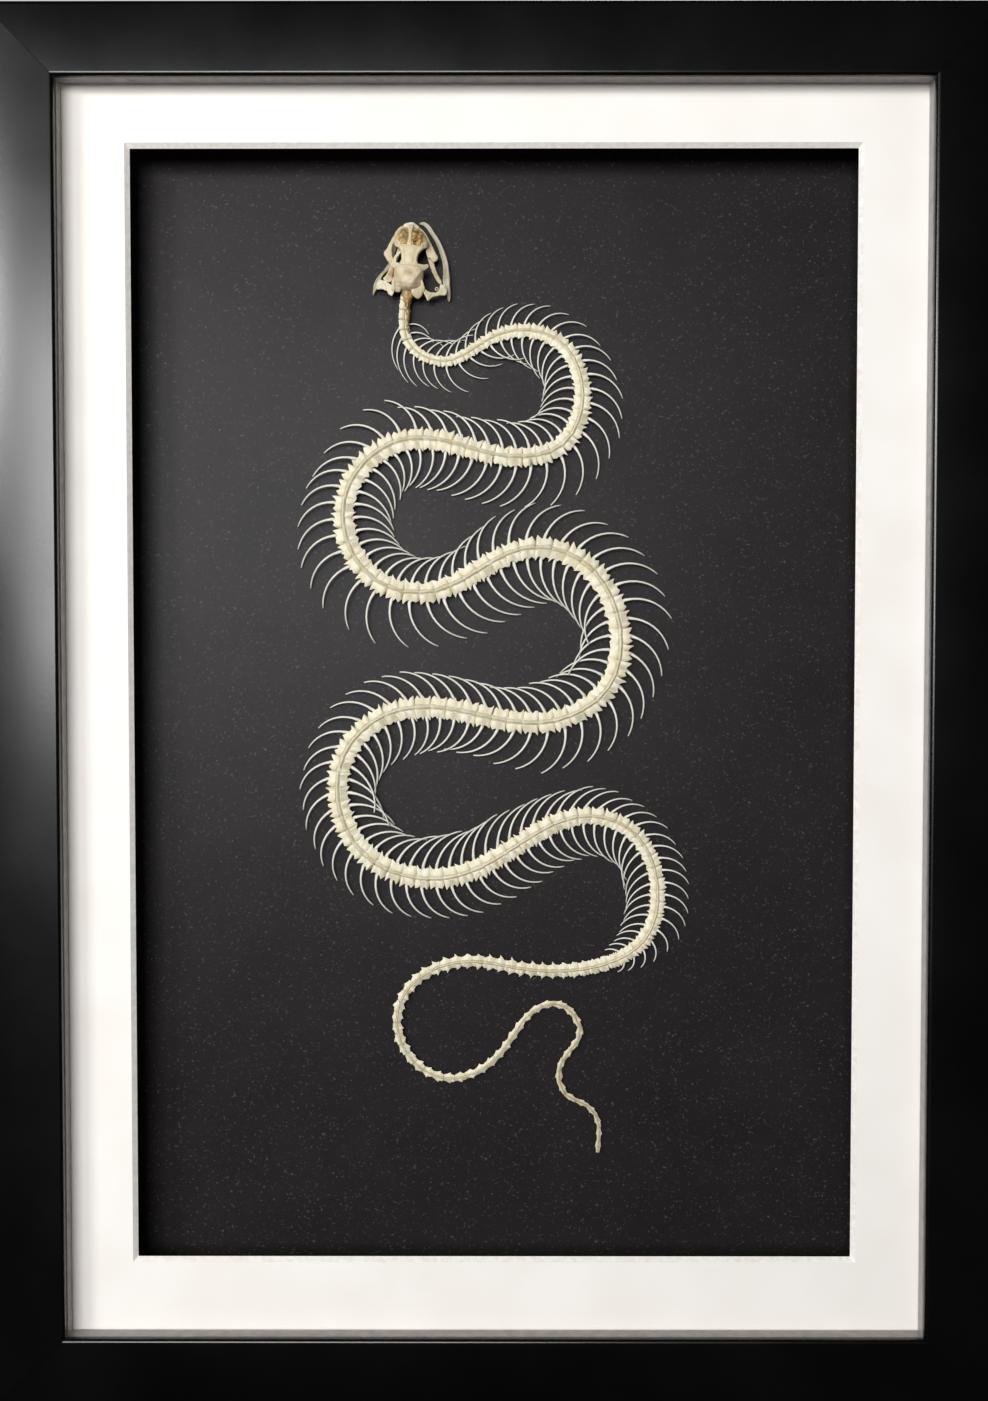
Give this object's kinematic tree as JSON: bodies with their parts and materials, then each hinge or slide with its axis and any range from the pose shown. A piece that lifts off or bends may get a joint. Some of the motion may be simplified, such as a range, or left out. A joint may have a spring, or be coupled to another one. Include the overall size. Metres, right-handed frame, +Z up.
{
  "type": "framed snake skeleton",
  "caption": "Flat-laid snake skeleton in loops on black card, behind glass with a white bevelled mat in a black shadow-box frame.",
  "frame": {"origin": "middle of the top rail's rear face, which lies on the wall", "axes": "+X to the viewer's right, +Y into the wall, +Z up; the picture faces -Y"},
  "size_m": [0.233, 0.03, 0.323],
  "materials": {
    "moulding": "smooth black satin paint",
    "glazing": "clear polished",
    "spacer": "black gloss",
    "mat": "warm white smooth board",
    "backing": "charcoal black matte",
    "board": "bare brown fibreboard",
    "steel": "zinc plated",
    "bone": "dry matte bone, cream yellow",
    "tissue": "dried golden brown tissue over the nose"
  },
  "bodies": {
    "root": {"frame_top": "moulding", "frame_bottom": "moulding", "frame_left": "moulding", "frame_right": "moulding", "glazing": "glazing", "front_spacer_top": "spacer", "front_spacer_bottom": "spacer", "front_spacer_left": "spacer", "front_spacer_right": "spacer", "rear_spacer_top": "spacer", "rear_spacer_bottom": "spacer", "rear_spacer_left": "spacer", "rear_spacer_right": "spacer", "mat_board": "mat", "backing_card": "backing", "rear_board": "board", "wall_hanger": "steel", "rear_tab_1": "steel", "rear_tab_2": "steel", "rear_tab_3": "steel", "rear_tab_4": "steel", "rear_tab_5": "steel", "rear_tab_6": "steel", "skull_cranium": "bone", "maxilla_left": "bone", "maxilla_right": "bone", "pterygoid_left": "bone", "pterygoid_right": "bone", "quadrate_left": "bone", "quadrate_right": "bone", "mandible_left": "bone", "mandible_right": "bone", "neck": "bone", "trunk_1": "bone", "trunk_2": "bone", "trunk_3": "bone", "trunk_4": "bone", "trunk_5": "bone", "trunk_6": "bone", "tail_1": "bone", "tail_2": "bone", "tail_3": "bone", "skull_snout": "tissue"}
  },
  "joints": []
}
